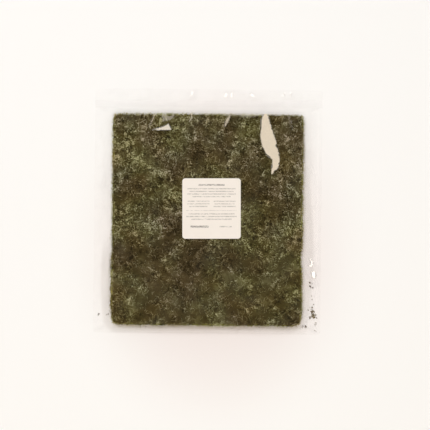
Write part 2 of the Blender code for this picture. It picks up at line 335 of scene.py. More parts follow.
def ridge_height(x, y, start, end, half_width, height):
    """Height of one soft ridge along a line, which runs out at both ends."""
    run_x, run_y = end[0] - start[0], end[1] - start[1]
    length = math.hypot(run_x, run_y)
    from_x, from_y = x / MM - start[0], y / MM - start[1]
    along = (from_x * run_x + from_y * run_y) / length
    left = (from_y * run_x - from_x * run_y) / length
    past_end = np.maximum(np.maximum(-along, along - length), 0.0)
    return height * MM * smooth(1 - np.hypot(left, past_end) / half_width)


def fine_wrinkles():
    """The seeded fine wrinkles, as ridges."""
    draw = np.random.default_rng(WRINKLE_SEED)
    made = []
    for (low_x, low_y), (high_x, high_y), heading, count in WRINKLE_FIELDS:
        for _ in range(count):
            middle = (draw.uniform(low_x, high_x), draw.uniform(low_y, high_y))
            turn = math.radians(heading + draw.normal(0, WRINKLE_STRAY))
            half = draw.uniform(*WRINKLE_LENGTH) / 2
            reach = (half * math.cos(turn), half * math.sin(turn))
            start = (middle[0] - reach[0], middle[1] - reach[1])
            end = (middle[0] + reach[0], middle[1] + reach[1])
            made.append((start, end, draw.uniform(*WRINKLE_HALF_WIDTH), draw.uniform(*WRINKLE_HEIGHT)))
    return made


def sheet_surface(x, y):
    """Height of the film on the stack: slow waves, level under the label, drooping at the edges."""
    outside = outside_stack(x, y)
    wave = sum(
        np.sin(2 * math.pi * (x_share * x + y_share * y) / length + phase)
        for length, x_share, y_share, phase in SHEET_WAVES
    )
    waves = SHEET_WAVE_HEIGHT * wave * smooth((outside_label(x, y) - LABEL_BED_MARGIN) / LABEL_BED_EASE)
    droop = STACK_SAG * smooth((outside + STACK_SHOULDER) / STACK_SHOULDER)
    return STACK_TOP - droop + waves


def film_side_shade(x, y):
    """How much painted shade the front film takes beside the stack, from 0 to 1."""
    outside = outside_stack(x, y)
    to_foot = DRAPE_START + drape_reach(x, y) - outside
    beside = smooth(outside / SIDE_SHADE_START) * smooth(to_foot / SIDE_SHADE_EASE)
    strength = np.where(x > 0, SIDE_SHADE_RIGHT[0], SIDE_SHADE_LEFT[0])
    top = np.where(x > 0, SIDE_SHADE_RIGHT[1], SIDE_SHADE_LEFT[1])
    return beside * strength * smooth((top - y) / SIDE_SHADE_FADE)


def front_film_form(x, y):
    """Height of the front film's outer face above the table, and how brightly each place shines."""
    outside = outside_stack(x, y)
    out = np.hypot(np.maximum(outside - DRAPE_START, 0.0) / drape_reach(x, y), DRAPE_BEND) - DRAPE_BEND
    kept = np.maximum(1 - out / (math.hypot(1, DRAPE_BEND) - DRAPE_BEND), 0.0) ** DRAPE_POWER
    height = MARGIN_HEIGHT + (sheet_surface(x, y) - MARGIN_HEIGHT) * kept
    rise = smooth((y - ZIP_HIGH) / (BAG_LENGTH / 2 - ZIP_HIGH))
    ripple = sum(np.sin(2 * math.pi * x / wave + phase) for wave, phase in LIP_WAVES)
    height = np.maximum(height, MARGIN_HEIGHT + LIP_RIPPLE * rise * np.maximum(ripple, 0.0) / len(LIP_WAVES))
    past_zip_foot = smooth((ZIP_WIDTH / 2 + ZIP_WALL + y - ZIP_CENTRE_Y) / ZIP_WALL)
    height = np.maximum(height, ZIP_THICKNESS * past_zip_foot + zip_ribs(y))
    folds = np.max([ridge_height(x, y, *ridge) for ridge in RIDGES], axis=0)
    folds += np.max([ridge_height(x, y, *wrinkle) for wrinkle in fine_wrinkles()], axis=0)
    bed = LABEL_BED_RISE * smooth((LABEL_BED_MARGIN - outside_label(x, y)) / LABEL_BED_MARGIN)
    height, shine = blow_pockets(x, y, height + folds + bed)
    shine = np.maximum(shine, WRINKLE_SHINE * smooth(folds / WRINKLE_FULL) * (outside > 0))
    crimp = SEAL_CRIMP * np.sin(2 * math.pi * y / SEAL_CRIMP_WAVE)
    free = smooth((BAG_WIDTH / 2 - np.abs(x) - SEAL_WIDTH) / SEAL_EASE)
    free = free * smooth((y + BAG_LENGTH / 2) / BOTTOM_EASE)
    return SEAL_HEIGHT + crimp * (1 - free) + (height - SEAL_HEIGHT) * free, shine


def back_film_height(x, y):
    """Height of the back film's outer face, which lies on the table with a few faint swells."""
    across, along = BACK_SWELL_WAVES
    swell = BACK_SWELL * np.sin(2 * math.pi * x / across + 1) * np.sin(2 * math.pi * y / along)
    return BACK_FILM_HEIGHT - FILM_THICKNESS + swell


def round_corners(x, y, width, length, radius):
    """Pulls the points of each square corner in onto a round one. radius is one length or an array."""
    corner_x = np.copysign(width / 2 - radius, x)
    corner_y = np.copysign(length / 2 - radius, y)
    out_x, out_y = x - corner_x, y - corner_y
    in_corner = (out_x * x > 0) & (out_y * y > 0)
    reach = np.hypot(out_x, out_y)
    scale = np.maximum(np.abs(out_x), np.abs(out_y)) / np.where(reach > 0, reach, 1)
    scale = np.where(in_corner, scale, 1)
    return corner_x + out_x * scale, corner_y + out_y * scale


def wavelets(x, y, length, seed, count, spread=0.35):
    """Smooth random relief of about the given wavelength, with a spread of about 1 either way."""
    draw = np.random.default_rng(seed)
    total = np.zeros_like(x)
    for _ in range(count):
        heading = draw.uniform(0, 2 * math.pi)
        step = 2 * math.pi / (length * draw.uniform(1 - spread, 1 + spread))
        total += np.sin(step * (x * math.cos(heading) + y * math.sin(heading)) + draw.uniform(0, 2 * math.pi))
    return total / math.sqrt(count / 2)


# --------------------------------------------------------------------------------------------- mesh helpers

def select_only(piece):
    """Selects one piece and makes it the active one."""
    bpy.ops.object.select_all(action="DESELECT")
    piece.select_set(True)
    bpy.context.view_layer.objects.active = piece


def named(name):
    """Names the object that an operator has just added."""
    made = bpy.context.object
    made.name = name
    made.data.name = name
    return made


def grid_lines(*stops):
    """Grid lines through a row of stops, each with the spacing that follows it; the last ends the row."""
    lines = []
    for (start, step), (end, _) in zip(stops, stops[1:]):
        count = max(1, round((end - start) / step))
        lines += [start + (end - start) * i / count for i in range(count)]
    return np.array(lines + [stops[-1][0]])


def even_lines(half, step):
    """Grid lines evenly spaced from -half to half."""
    return grid_lines((-half, step), (half, None))


def points_of(piece):
    """A piece's points, one to a row."""
    points = np.empty(len(piece.data.vertices) * 3)
    piece.data.vertices.foreach_get("co", points)
    return points.reshape(-1, 3)


def move_points(piece, *axes):
    """Moves a piece's points to the given x, y and z, each an array or one number."""
    points = np.stack(np.broadcast_arrays(*axes), axis=1)
    piece.data.vertices.foreach_set("co", points.ravel())
    piece.data.update()


def write_values(piece, named_values):
    """Writes values to a piece's points, under names that its material reads."""
    for name, values in named_values.items():
        piece.data.attributes.new(name, "FLOAT", "POINT").data.foreach_set("value", values)


def take_apart(piece):
    """Removes a piece that is only a pattern, and gives its points and faces."""
    points = points_of(piece)
    faces = [tuple(face.vertices) for face in piece.data.polygons]
    bpy.data.objects.remove(piece, do_unlink=True)
    return points, faces


def shaped_grid(name, columns, rows, place):
    """A grid primitive whose points go to place(x, y), for x and y on the given columns and rows."""
    bpy.ops.object.select_all(action="DESELECT")
    bpy.ops.mesh.primitive_grid_add(x_subdivisions=len(columns) - 1, y_subdivisions=len(rows) - 1, size=1)
    made = named(name)
    x, y = np.meshgrid(columns, rows)
    move_points(made, *place(x.ravel(), y.ravel()))
    return made


def give_thickness(piece, thickness, inner_slots=0):
    """Gives a sheet its wall. The inner face and rim take the material that is inner_slots further on."""
    select_only(piece)
    for _ in range(1 + inner_slots):
        bpy.ops.object.material_slot_add()
    wall = piece.modifiers.new("wall", "SOLIDIFY")
    wall.thickness = thickness
    wall.offset = -1.0  # inwards from the face
    wall.material_offset = inner_slots
    wall.material_offset_rim = inner_slots
    bpy.ops.object.modifier_apply(modifier=wall.name)
    bpy.ops.object.shade_smooth_by_angle(angle=SHARP_ANGLE)


def finish_piece(piece, material, slot, *nodes, inner=None):
    """Dresses a piece and ties it to the frame. inner is the material of a wall's inner face."""
    for number, each in enumerate([material] if inner is None else [material, inner]):
        if number < len(piece.material_slots):
            piece.material_slots[number].material = each
        else:
            piece.data.materials.append(each)
    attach(piece, "root")
    if nodes:
        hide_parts(*nodes)


# ----------------------------------------------------------------------------------------- material helpers

def linear(code):
    """A colour socket's value from an sRGB hex colour."""
    shares = [int(code[i:i + 2], 16) / 255 for i in (0, 2, 4)]
    return (*[s / 12.92 if s <= 0.04045 else ((s + 0.055) / 1.055) ** 2.4 for s in shares], 1.0)


def add(tree, kind, sockets=None, **settings):
    """Adds a node with its settings. sockets maps an input's name or number to a value or to an output."""
    made = tree.nodes.new(kind)
    for name, value in settings.items():
        setattr(made, name, value)
    for socket, value in (sockets or {}).items():
        if isinstance(value, bpy.types.NodeSocket):
            tree.links.new(value, made.inputs[socket])
        else:
            made.inputs[socket].default_value = value
    return made


def new_material(name):
    """An empty material, its tree and its output's surface socket."""
    made = bpy.data.materials.new(name)
    made.use_nodes = True
    made.node_tree.nodes.clear()
    output = add(made.node_tree, "ShaderNodeOutputMaterial")
    return made, made.node_tree, output.inputs["Surface"]


def in_millimetres(tree):
    """Object coordinates in millimetres."""
    place = add(tree, "ShaderNodeTexCoord").outputs["Object"]
    return add(tree, "ShaderNodeMapping", {"Vector": place, "Scale": (1 / MM, 1 / MM, 1 / MM)}).outputs[0]


def attribute(tree, name):
    """The value that write_values gave to each point under this name."""
    return add(tree, "ShaderNodeAttribute", attribute_name=name).outputs["Fac"]


def noise(tree, place, size, detail, output="Fac"):
    """Noise with swells of about the given size. detail adds finer ones."""
    sockets = {"Vector": place, "Scale": 1 / size, "Detail": detail}
    return add(tree, "ShaderNodeTexNoise", sockets).outputs[output]


def calculate(tree, operation, *values, **settings):
    """The result of one sum."""
    return add(tree, "ShaderNodeMath", dict(enumerate(values)), operation=operation, **settings).outputs[0]


def remap(tree, value, *ends, **settings):
    """Moves a value between two ranges. ends are the first one's, then the second one's or else 0 and 1."""
    sockets = dict(zip(("From Min", "From Max", "To Min", "To Max"), ends))
    return add(tree, "ShaderNodeMapRange", {"Value": value, **sockets}, **settings).outputs[0]


def blend(tree, share, low, high, **settings):
    """A colour between two others."""
    return add(tree, "ShaderNodeMix", {0: share, 6: low, 7: high}, data_type="RGBA", **settings).outputs[2]


def bumpy(tree, height, strength, distance):
    """The normal of a surface with fine relief."""
    sockets = {"Height": height, "Strength": strength, "Distance": distance}
    return add(tree, "ShaderNodeBump", sockets).outputs[0]


def principled(tree, colour, roughness, specular, **sockets):
    """A principled shader."""
    sockets = {"Base Color": colour, "Roughness": roughness, "Specular IOR Level": specular, **sockets}
    return add(tree, "ShaderNodeBsdfPrincipled", sockets).outputs[0]


def mix_shaders(tree, share, first, second):
    """A shader between two others."""
    return add(tree, "ShaderNodeMixShader", {0: share, 1: first, 2: second}).outputs[0]


# ------------------------------------------------------------------------------------------------ materials

STRAND_HEADINGS = (12, 68, 121, 163)  # degrees
STRAND_SIZE = (5.6, 0.95)  # length and width of a pressed strand, mm; drawn a little coarse, so that it shows
GRAIN_SIZE = 1.5
PORE_SIZE = 2.6
CLUMP_SIZE = 5.0
MAT_SIZE = 9  # how far apart open, rough felt and close, smooth felt lie
TUFT_SIZE = 11
CLOUD_SIZE = 28
BEND_SIZE = 5  # how far apart the strands' bends lie, and twice the furthest that they push

# Which of the noise's values count as none and as all of a thing
PORE_SPREAD = (0.45, 0.33)
MAT_SPREAD = (0.35, 0.65)
DRIFT_SPREAD = (0.38, 0.62)
MAT_ROUGHNESS = (0.4, 1.45)  # how rough the closest and the most open felt are


def add_layers(tree, total, *layers):
    """Adds layers to a value. Each has a value of its own, a weight, and a middle that is taken off first."""
    for value, weight, middle in layers:
        centred = calculate(tree, "SUBTRACT", value, middle)
        total = calculate(tree, "MULTIPLY_ADD", centred, weight, total)
    return total


def felt_pattern(tree, place):
    """The felt as one value about 0.5: strands pressed every way, grain, pores, clumps, tufts and clouds."""
    bend = noise(tree, place, BEND_SIZE, 1.0, "Color")
    shift = add(tree, "ShaderNodeVectorMath", {0: bend, 1: (0.5, 0.5, 0.5)}, operation="SUBTRACT").outputs[0]
    sockets = {0: shift, 1: (BEND_SIZE, BEND_SIZE, BEND_SIZE), 2: place}
    bent = add(tree, "ShaderNodeVectorMath", sockets, operation="MULTIPLY_ADD").outputs[0]
    strands = 0.0
    for heading in STRAND_HEADINGS:
        sockets = {"Vector": bent, "Rotation": (0, 0, math.radians(heading)), "Scale": (*STRAND_SIZE, 1)}
        laid = add(tree, "ShaderNodeMapping", sockets, vector_type="TEXTURE").outputs[0]
        strands = calculate(tree, "MAXIMUM", strands, noise(tree, laid, 1.0, 1.0))
    pitted = noise(tree, bent, PORE_SIZE, 1.0)
    fine = add_layers(
        tree,
        0.0,
        (strands, 1.5, 0.62),
        (noise(tree, place, GRAIN_SIZE, 2.0), 0.9, 0.5),
        (remap(tree, pitted, *PORE_SPREAD, interpolation_type="SMOOTHSTEP"), -0.24, 0.12),
        (noise(tree, bent, CLUMP_SIZE, 2.0), 0.9, 0.5),
    )
    rough = remap(tree, noise(tree, place, MAT_SIZE, 1.0), *MAT_SPREAD, *MAT_ROUGHNESS)
    rough = calculate(tree, "ADD", rough, attribute(tree, "rougher"))
    tufts = (noise(tree, bent, TUFT_SIZE, 1.0), 0.6, 0.5)
    clouds = (noise(tree, place, CLOUD_SIZE, 1.0), 0.25, 0.5)
    return add_layers(tree, calculate(tree, "MULTIPLY_ADD", fine, rough, 0.5), tufts, clouds)


# How dried laver runs from its pores to its lightest strands, against the felt's value
LAVER_STEPS = (0.1, 0.5, 0.69, 0.85)

# How its hue drifts over the sheet: the attribute that moves it, how far apart the drifts lie in mm, and the
# two casts that they run between
LAVER_DRIFTS = (
    ("greener", 27, (1.04, 0.983, 0.98, 1), (0.945, 1.02, 0.91, 1)),
    ("yellower", 34, (0.99, 0.985, 1.09, 1), (1.01, 1.01, 0.86, 1)),
)


def laver_material(name, *colours, bump=0.35):
    """Dried laver: dark olive felt, faintly shiny. The eye gets strands, pores, patches and a shift of hue.

    colours run from the pores to the lightest strands. The attributes lighter, greener, yellower and rougher
    move the look from place to place.
    """
    made, tree, surface = new_material(name)
    place = in_millimetres(tree)
    felt = felt_pattern(tree, place)
    ramp = add(tree, "ShaderNodeValToRGB", {"Fac": calculate(tree, "ADD", felt, attribute(tree, "lighter"))})
    stops = ramp.color_ramp.elements
    while len(stops) < len(colours):
        stops.new(1.0)
    for stop, step, colour in zip(stops, LAVER_STEPS, colours):
        stop.position = step
        stop.color = linear(colour)
    colour = ramp.outputs[0]
    for mover, size, low_cast, high_cast in LAVER_DRIFTS:
        drift = calculate(tree, "ADD", noise(tree, place, size, 1.0), attribute(tree, mover))
        cast = blend(tree, remap(tree, drift, *DRIFT_SPREAD), low_cast, high_cast)
        colour = blend(tree, 1.0, colour, cast, blend_type="MULTIPLY")
    raised = bumpy(tree, felt, bump, 0.4 * MM)
    tree.links.new(principled(tree, colour, 0.35, 0.02, Normal=raised), surface)
    return made


OUTER_GLOSS = 0.012  # head on; both faces of a real wall shine, and here the outer one does it for both
INNER_GLOSS = 0.001
POCKET_GLOSS = 0.85  # over a pocket; far more than real film's, under windows that are dim in return
GRAZING_GLOSS = 0.6  # what a grazing look adds
GRAZING_POWER = 5.0
GLOSS_ROUGHNESS = 0.12
HAZE = (0.001, 0.008)  # in the clearest and the cloudiest patches
HAZE_SPREAD = (0.45, 0.75)
HAZE_SIZE = 14
# painted shade: the extra haze beside the stack
SIDE_SHADE_HAZE = 0.045
STRIP_MILKINESS = 0.012


def film_material(name, head_on_gloss, pocket_gloss=0.0):
    """Cast polypropylene film: clear, thin and smooth, so the eye sees it only by its gloss and faint haze.

    The attribute shine adds the gleam over an air pocket or a fold, and a second one adds a thicker, browner
    haze beside the stack, which is painted shade.
    """
    made, tree, surface = new_material(name)
    facing = add(tree, "ShaderNodeLayerWeight", {"Blend": 0.5}).outputs["Facing"]
    grazing = calculate(tree, "POWER", facing, GRAZING_POWER)
    head_on = calculate(tree, "MULTIPLY_ADD", attribute(tree, "shine"), pocket_gloss, head_on_gloss)
    gloss = calculate(tree, "MULTIPLY_ADD", grazing, GRAZING_GLOSS, head_on, use_clamp=True)
    side_shade = attribute(tree, "side_shade")
    haze = remap(tree, noise(tree, in_millimetres(tree), HAZE_SIZE, 3.0), *HAZE_SPREAD, *HAZE)
    haze = calculate(tree, "MULTIPLY_ADD", side_shade, SIDE_SHADE_HAZE, haze)
    # painted shade: beside the stack the haze turns a darker brown, in place of the stack's shadow
    milk = blend(tree, side_shade, linear("F4F1EE"), linear("A89580"))
    clear = add(tree, "ShaderNodeBsdfTransparent", {"Color": (0.999, 0.9987, 0.9983, 1)}).outputs[0]
    milky = add(tree, "ShaderNodeBsdfDiffuse", {"Color": milk}).outputs[0]
    sockets = {"Color": (1, 1, 1, 1), "Roughness": GLOSS_ROUGHNESS}
    mirror = add(tree, "ShaderNodeBsdfGlossy", sockets, distribution="BECKMANN").outputs[0]
    tree.links.new(mix_shaders(tree, gloss, mix_shaders(tree, haze, clear, milky), mirror), surface)
    return made


def zip_material():
    """Extruded polyethylene: a thicker, milkier clear than the film, so the strip shows as a pale band."""
    made, tree, surface = new_material("milky_polyethylene_strip")
    clear = add(tree, "ShaderNodeBsdfTransparent", {"Color": (1, 1, 1, 1)}).outputs[0]
    milky = principled(tree, linear("FBF5F7"), 0.3, 0.2)
    tree.links.new(mix_shaders(tree, STRIP_MILKINESS, clear, milky), surface)
    return made


# The label's print, in millimetres from its middle: centre x, y, width, height and how dark
PRINT_BARS = (
    (0, 23.4, 26, 1.7, 0.6),
    (0, 19.6, 48, 1.0, 0.45),
    (0, 17.0, 44, 1.0, 0.45),
    (0, 14.4, 48, 1.0, 0.45),
    (0, 11.8, 38, 1.0, 0.45),
    (-13, 7.2, 22, 1.0, 0.42),
    (13, 7.2, 22, 1.0, 0.42),
    (-13, 4.6, 22, 1.0, 0.42),
    (13, 4.6, 20, 1.0, 0.42),
    (-13, 2.0, 18, 1.0, 0.42),
    (13, 2.0, 22, 1.0, 0.42),
    (0, -2.0, 50, 0.5, 0.35),
    (0, -5.4, 46, 1.0, 0.48),
    (0, -8.0, 50, 1.0, 0.48),
    (0, -10.6, 40, 1.0, 0.48),
    (-12, -18.0, 18, 2.0, 0.7),
    (14, -18.0, 12, 1.2, 0.4),
)
WORD_STRETCH = (0.55, 3.0, 1)  # draws the noise out along the bars, which it breaks into words
WORD_GAPS = (0.38, 0.52)  # the noise's values for bare paper and for full ink


def label_material():
    """Uncoated label paper: matt and cream, with rows of small grey bars broken up like lines of type."""
    made, tree, surface = new_material("uncoated_label_paper")
    place = add(tree, "ShaderNodeTexCoord").outputs["Object"]
    on_label = add(
        tree,
        "ShaderNodeMapping",
        {
            "Vector": place,
            "Location": (*LABEL_CENTRE, 0),
            "Rotation": (0, 0, LABEL_TURN),
            "Scale": (MM, MM, MM),
        },
        vector_type="TEXTURE",
    ).outputs[0]
    across, up, _ = add(tree, "ShaderNodeSeparateXYZ", {0: on_label}).outputs
    ink = 0.0
    for x, y, width, height, dark in PRINT_BARS:
        in_x = calculate(tree, "COMPARE", across, x, width / 2)
        in_y = calculate(tree, "COMPARE", up, y, height / 2)
        ink = calculate(tree, "MULTIPLY_ADD", calculate(tree, "MULTIPLY", in_x, in_y), dark, ink)
    stretched = add(tree, "ShaderNodeMapping", {"Vector": on_label, "Scale": WORD_STRETCH}).outputs[0]
    gaps = remap(tree, noise(tree, stretched, 1.0, 2.0), *WORD_GAPS)
    ink = calculate(tree, "MULTIPLY", ink, gaps, use_clamp=True)
    paper = blend(tree, noise(tree, on_label, 9, 4.0), linear("F1EAE2"), linear("F6EFE8"))
    colour = blend(tree, ink, paper, linear("3A3431"))
    raised = bumpy(tree, noise(tree, on_label, 0.5, 3.0), 0.15, 0.05 * MM)
    tree.links.new(principled(tree, colour, 0.7, 0.1, Normal=raised), surface)
    return made


# The floor's painted shade round the pack, warmer and darker there in place of the pack's soft shadow and the
# warm light bounced off it: its middle and stretch, and how far out in millimetres it starts and stops fading
PAINTED_SHADE_PLACE = {"Location": (-10, 32, 0), "Scale": (1, 0.8, 0)}
PAINTED_SHADE_FADE = (60.0, 160.0)


def floor_material():
    """Matt white paper on a table, with painted shade round the pack: a little warmer and darker there, and
    white further out.
    """
    made, tree, surface = new_material("matt_white_paper")
    from_pack = add(tree, "ShaderNodeMapping", {"Vector": in_millimetres(tree), **PAINTED_SHADE_PLACE}).outputs[0]
    distance = add(tree, "ShaderNodeVectorMath", {0: from_pack}, operation="LENGTH").outputs["Value"]
    far = remap(tree, distance, *PAINTED_SHADE_FADE, interpolation_type="SMOOTHSTEP")
    # painted shade: the warmer, darker colour near the pack stands in for its soft shadow
    colour = blend(tree, far, linear("F4EDEC"), linear("FCFCFC"))
    tree.links.new(principled(tree, colour, 0.9, 0.0), surface)
    return made


# --------------------------------------------------------------------------------------------------- the bag

def make_front_film(film, inner_film):
    """The front film: it drapes over the stack, swells over the strip and is welded down along both sides."""
    half_width, half_length = BAG_WIDTH / 2, BAG_LENGTH / 2
    columns = grid_lines(
        (-half_width, SIDE_STEP),
        (-STACK_WIDTH / 2 + 2 * MM, OPEN_STEP),
        (-62 * MM, POCKET_STEP),
        (-34 * MM, OPEN_STEP),
        (-22 * MM, POCKET_STEP),
        (-13 * MM, OPEN_STEP),
        (13 * MM, POCKET_STEP),
        (25 * MM, OPEN_STEP),
        (37 * MM, LIP_STEP),
        (48 * MM, POCKET_STEP),
        (73 * MM, LIP_STEP),
        (84 * MM, OPEN_STEP),
        (STACK_WIDTH / 2 - 2 * MM, SIDE_STEP),
        (half_width, None),
    )
    rows = grid_lines(
        (-half_length, MARGIN_STEP),
        (-STACK_LENGTH / 2, OPEN_STEP),
        (-70 * MM, SIDE_STEP),
        (-43 * MM, OPEN_STEP),
        (36 * MM, POCKET_STEP),
        (ZIP_LOW, ZIP_STEP),
        (ZIP_HIGH, SIDE_STEP),
        (half_length, None),
    )

    def place(x, y):
        height, _ = front_film_form(x, y)
        x, y = round_corners(x, y + zip_shift(x, y), BAG_WIDTH, BAG_LENGTH, BAG_CORNER_RADIUS)
        return x, y, height

    front = shaped_grid("front_film", columns, rows, place)
    x, y = (line.ravel() for line in np.meshgrid(columns, rows))
    _, shine = front_film_form(x, y)
    # the second value is the film's painted shade beside the stack
    write_values(front, {"shine": shine, "side_shade": film_side_shade(x, y)})
    give_thickness(front, FILM_THICKNESS, inner_slots=1)
    finish_piece(front, film, "film", "bag", inner=inner_film)


def make_back_film(film):
    """The back film, which lies on the table."""

    def place(x, y):
        height = back_film_height(x, y)
        x, y = round_corners(x, y, BAG_WIDTH, BAG_LENGTH, BAG_CORNER_RADIUS)
        return x, y, height

    columns, rows = even_lines(BAG_WIDTH / 2, BACK_STEP), even_lines(BAG_LENGTH / 2, BACK_STEP)
    back = shaped_grid("back_film", columns, rows, place)
    give_thickness(back, FILM_THICKNESS)
    finish_piece(back, film, "film", "bag")


def make_zip(plastic):
    """The strip's two halves: the front one under the front film, the back one on the back film."""
    columns = even_lines(BAG_WIDTH / 2 - ZIP_INSET, STRIP_STEP)
    rows = grid_lines((ZIP_LOW, ZIP_STEP / 2), (ZIP_HIGH, None))
    heights = {
        "zip_front_half": lambda y: ZIP_THICKNESS + zip_ribs(y) - FILM_THICKNESS - ZIP_FROM_FILM,
        "zip_back_half": lambda y: BACK_FILM_HEIGHT + ZIP_WALL + ZIP_BACK_RIBS * zip_ribs(y) + ZIP_FROM_FILM,
    }
    for name, height in heights.items():
        half = shaped_grid(name, columns, rows, lambda x, y: (x, y + zip_shift(x, y), height(y)))
        give_thickness(half, ZIP_WALL)
        finish_piece(half, plastic, "film", "bag")


# ------------------------------------------------------------------------------------------------- the sheets

def corner_radius(x, y):
    """Each corner of the sheets has its own radius."""
    radius = np.zeros_like(x)
    for (side, end), size in SHEET_CORNERS.items():
        radius = np.where((np.sign(x) == side) & (np.sign(y) == end), size, radius)
    return np.where(radius > 0, radius, STACK_CORNER_RADIUS)


def rag(place, seed):
    """How far a torn edge stands out along its run."""
    flat = np.zeros_like(place)
    return RAG_HEIGHT * sum(
        share * wavelets(place, flat, length, seed + number, count=count, spread=RAG_SPREAD)
        for number, (length, count, share) in enumerate(RAG_WAVES)
    )


def tear_edges(x, y, number):
    """Moves the points near a sheet's edges to give it its ragged outline, from the middle of the stack."""
    seed = RAG_SEED + 10 * number
    near_x = smooth((np.abs(x) - STACK_WIDTH / 2 + RAG_DEPTH) / RAG_DEPTH)
    near_y = smooth((np.abs(y) - STACK_LENGTH / 2 + RAG_DEPTH) / RAG_DEPTH)
    right, left = rag(y, seed) - EDGE_WEAR["right"], rag(y, seed + 2) - EDGE_WEAR["left"]
    top, bottom = rag(x, seed + 4) - EDGE_WEAR["top"], rag(x, seed + 6) - EDGE_WEAR["bottom"]
    out_x, out_y = np.where(x > 0, right, left) * near_x, np.where(y > 0, top, bottom) * near_y
    level = y + STACK_CENTRE[1]
    dent = DENT_DEPTH * smooth(1 - np.abs(level - DENT_MIDDLE) / DENT_HALF_LENGTH)
    out_x -= np.where(x > 0, dent, 0) * near_x
    if number < SHEET_COUNT - 1:
        out_x += np.where(x < 0, FRINGE_REACH, 0) * near_x
    if number in STRAY_SHEETS:
        stray = STRAY_REACH * smooth(STRAY_PLATEAU * (1 - np.abs(level - STRAY_MIDDLE) / STRAY_HALF_LENGTH))
        out_x += np.where(x < 0, stray, 0) * near_x
    return x + np.sign(x) * out_x, y + np.sign(y) * out_y


def sheet_height(x, y, number):
    """Height of a sheet's middle: the sheets share the room from the lowest one up to the film evenly."""
    top = sheet_surface(x, y) - FILM_CLEARANCE
    return LOWEST_SHEET + (top - LOWEST_SHEET) * number / (SHEET_COUNT - 1)


def lay_sheet(x, y, number, draw):
    """Turns and shifts a sheet a little, and gives the height at which it lies."""
    turn = draw.uniform(-1, 1) * SHEET_TURN
    shift = draw.uniform(-1, 1, 2) * SHEET_SHIFT
    if number == SHEET_COUNT - 1:
        turn, shift = 0.0, (0.0, 0.0)
    x, y = turned(x, y, turn)
    x, y = x + STACK_CENTRE[0] + shift[0], y + STACK_CENTRE[1] + shift[1]
    return x, y, sheet_height(x, y, number)


def felt_relief(x, y):
    """Relief of a felted sheet: clumps and thin places."""
    return sum(
        height * wavelets(x, y, length, seed, count=count) for length, seed, count, height in FELT_RELIEF
    )


def make_top_sheet(laver):
    """The sheet that shows: a fine grid with the felt's own relief."""
    columns, rows = even_lines(STACK_WIDTH / 2, FELT_STEP), even_lines(STACK_LENGTH / 2, FELT_STEP)
    number = SHEET_COUNT - 1
    draw = np.random.default_rng(SHEET_SEED)

    def place(x, y):
        relief = felt_relief(x, y)
        x, y = round_corners(x, y, STACK_WIDTH, STACK_LENGTH, corner_radius(x, y))
        x, y = tear_edges(x, y, number)
        x, y, height = lay_sheet(x, y, number, draw)
        return x, y, height + relief

    sheet = shaped_grid("nori_sheet_10", columns, rows, place)
    give_thickness(sheet, SHEET_THICKNESS)
    give_tone(sheet)
    finish_piece(sheet, laver, "nori", "bag")


def sheet_outline():
    """Points round a sheet's outline, corners and all, evenly spread from the middle of its right edge."""
    half_width, half_length = STACK_WIDTH / 2, STACK_LENGTH / 2
    angles = np.arange(SHEET_OUTLINE_POINTS) / SHEET_OUTLINE_POINTS * 2 * math.pi
    across, up = np.cos(angles), np.sin(angles)
    reach = np.maximum(np.abs(across), np.abs(up))
    # the square's own run is kept even along each side
    side = np.arctan2(np.minimum(np.abs(across), np.abs(up)), reach) / (math.pi / 4)
    flat = np.abs(across) >= np.abs(up)
    x = np.where(flat, 1.0, side) * np.sign(across) * half_width
    y = np.where(flat, side, 1.0) * np.sign(up) * half_length
    return round_corners(x, y, STACK_WIDTH, STACK_LENGTH, corner_radius(x, y))


def make_lower_sheets(laver):
    """The sheets below, of which the edges show: a circle drawn out square, with a rim inset all round."""
    draw = np.random.default_rng(SHEET_SEED)
    for number in range(SHEET_COUNT - 1):
        bpy.ops.object.select_all(action="DESELECT")
        bpy.ops.mesh.primitive_circle_add(vertices=SHEET_OUTLINE_POINTS, radius=1, fill_type="NGON")
        sheet = named(f"nori_sheet_{number + 1:02d}")
        move_points(sheet, *sheet_outline(), 0.0)
        bpy.ops.object.mode_set(mode="EDIT")
        bpy.ops.mesh.select_all(action="SELECT")
        bpy.ops.mesh.inset(thickness=2 * RAG_DEPTH)
        bpy.ops.object.mode_set(mode="OBJECT")
        x, y, _ = points_of(sheet).T
        x, y = tear_edges(x, y, number)
        x, y, height = lay_sheet(x, y, number, draw)
        curl = SHEET_CURL * wavelets(x, y, SHEET_CURL_WAVE, SHEET_CURL_SEED + number, count=6)
        move_points(sheet, x, y, height + np.clip(curl, -SHEET_CURL_LIMIT, SHEET_CURL_LIMIT))
        give_thickness(sheet, SHEET_THICKNESS)
        finish_piece(sheet, laver, "nori", "bag")


